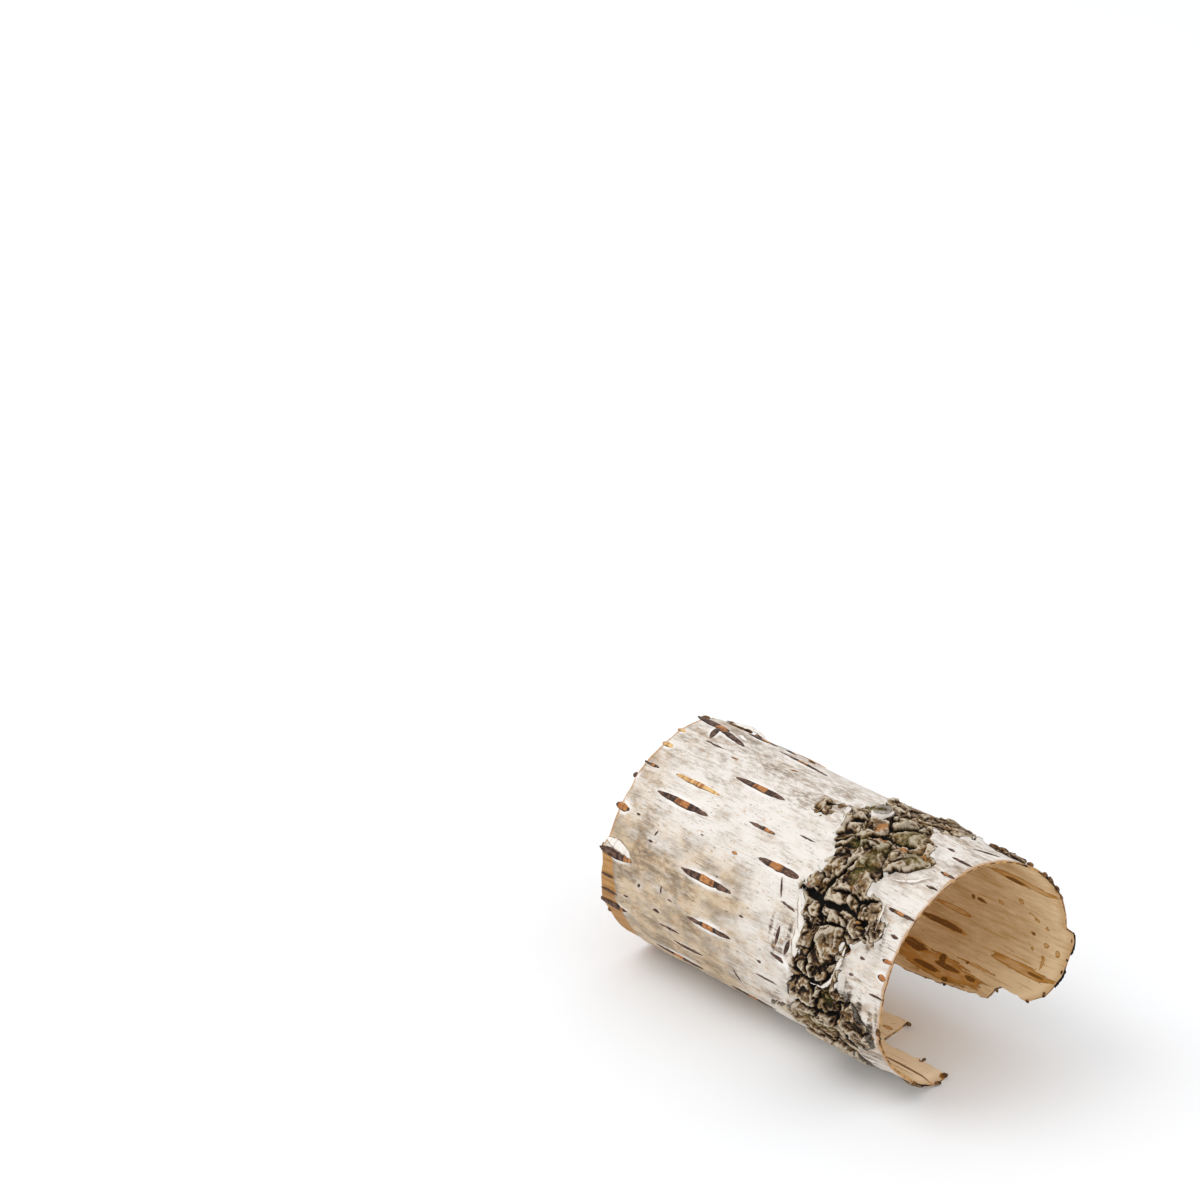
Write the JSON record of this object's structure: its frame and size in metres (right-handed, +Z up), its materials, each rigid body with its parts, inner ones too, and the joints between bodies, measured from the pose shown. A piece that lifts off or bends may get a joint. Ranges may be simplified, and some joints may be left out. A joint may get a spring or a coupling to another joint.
{
  "type": "curled piece of birch bark",
  "caption": "Curled sheet of white birch bark, open at both ends and split along the underside, with dark breathing pores and a raised band of cracked grey cork near one end.",
  "frame": {"origin": "under the middle of the bounding box, on the surface that the roll rests on", "axes": "+X along the roll towards the end with the corky band, +Y to the far side, +Z up"},
  "size_m": [0.0632, 0.0364, 0.0353],
  "materials": {
    "bark": "matte, papery white outside with grey cork and brown pores, tan inside"
  },
  "bodies": {
    "root": {"birch_bark": "bark"}
  },
  "joints": []
}
